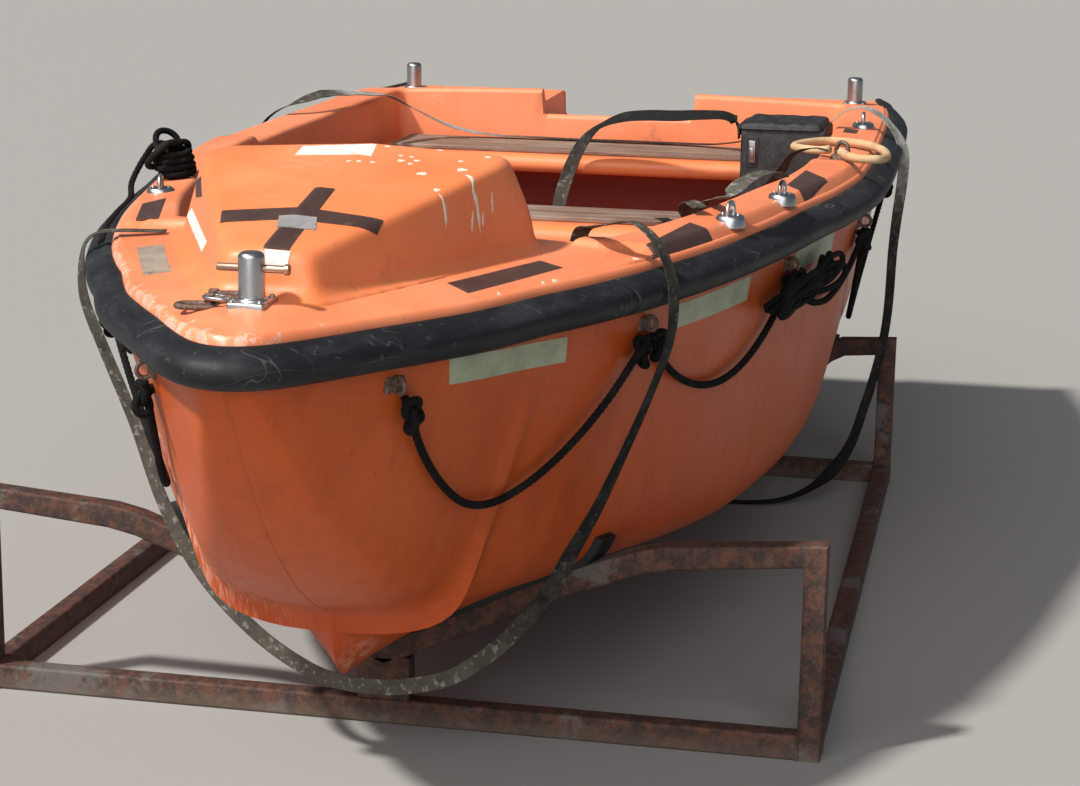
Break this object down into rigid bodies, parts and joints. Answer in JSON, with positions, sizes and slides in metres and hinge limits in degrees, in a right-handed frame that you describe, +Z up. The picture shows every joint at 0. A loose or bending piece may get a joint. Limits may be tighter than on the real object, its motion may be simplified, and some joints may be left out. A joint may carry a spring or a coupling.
{
  "type": "open lifeboat on a cradle",
  "caption": "Open orange rescue boat with a raised bow house, fender, benches, bollards and grab lines, lashed to a welded steel cradle with V bents.",
  "frame": {"origin": "on the ground midway along and across the whole object", "axes": "+X to the bow, +Y to port, +Z up"},
  "size_m": [4.3393, 1.94, 1.301],
  "materials": {
    "orange_grp": "faded satin",
    "rubber": "weathered matt",
    "wood": "weathered",
    "black_plastic": "matt",
    "steel": "worn",
    "rope": "braided",
    "webbing": "woven, faded",
    "rusty_steel": "rusted"
  },
  "bodies": {
    "boat_and_cradle": {"hull_shell": "orange_grp", "deck_moulding_fore": "orange_grp", "deck_moulding": "orange_grp", "deck_moulding_aft": "orange_grp", "house": "orange_grp", "fender_bow": "rubber", "fender_port": "rubber", "fender_quarter_port": "rubber", "fender_stbd": "rubber", "fender_quarter_stbd": "rubber", "mid_thwart": "orange_grp", "mid_thwart_slats": "wood", "aft_thwart": "orange_grp", "aft_thwart_slats": "wood", "console": "black_plastic", "bow_bollard": "steel", "bow_bollard_pin": "steel", "bow_link": "steel", "stern_bollard_port": "steel", "stern_bollard_stbd": "steel", "deck_eye_port_fore": "steel", "deck_eye_port_aft": "steel", "deck_eye_port_quarter": "steel", "deck_eye_stbd": "steel", "deck_shackle": "steel", "line_eye_port_1": "steel", "line_eye_port_2": "steel", "line_eye_port_3": "steel", "line_eye_port_4": "steel", "line_eye_port_5": "steel", "line_eye_stbd_1": "steel", "line_eye_stbd_2": "steel", "line_eye_stbd_3": "steel", "line_eye_stbd_4": "steel", "line_eye_stbd_5": "steel", "grab_line_port_1": "rope", "grab_line_port_2": "rope", "grab_line_port_3": "rope", "grab_line_port_4": "rope", "grab_line_stbd_1": "rope", "grab_line_stbd_2": "rope", "grab_line_stbd_3": "rope", "grab_line_stbd_4": "rope", "cradle_rail_port": "rusty_steel", "cradle_rail_stbd": "rusty_steel", "cradle_front_bent": "rusty_steel", "cradle_front_member": "rusty_steel", "cradle_rear_bent": "rusty_steel", "cradle_rear_member": "rusty_steel", "cradle_front_rubber": "rubber", "cradle_rear_rubber": "rubber", "strap_bow": "webbing", "strap_quarter": "webbing", "strap_inside": "webbing", "strap_eye": "webbing", "strap_side": "webbing", "deck_loop": "webbing", "rope_stbd": "webbing"},
    "lid": {"console_lid": "black_plastic"},
    "door": {"bow_stowage_door": "orange_grp"}
  },
  "joints": [
    {"name": "console_lid_hinge", "type": "hinge", "parent": "boat_and_cradle", "child": "lid", "pos_m": [-1.2725, 0.729, 1.0902], "axis": [-1, 0, 0], "range_deg": [0, 80]},
    {"name": "stowage_door_hinge", "type": "hinge", "parent": "boat_and_cradle", "child": "door", "pos_m": [1.0352, 0, 0.6585], "axis": [0, -1, 0], "range_deg": [0, 88]}
  ]
}
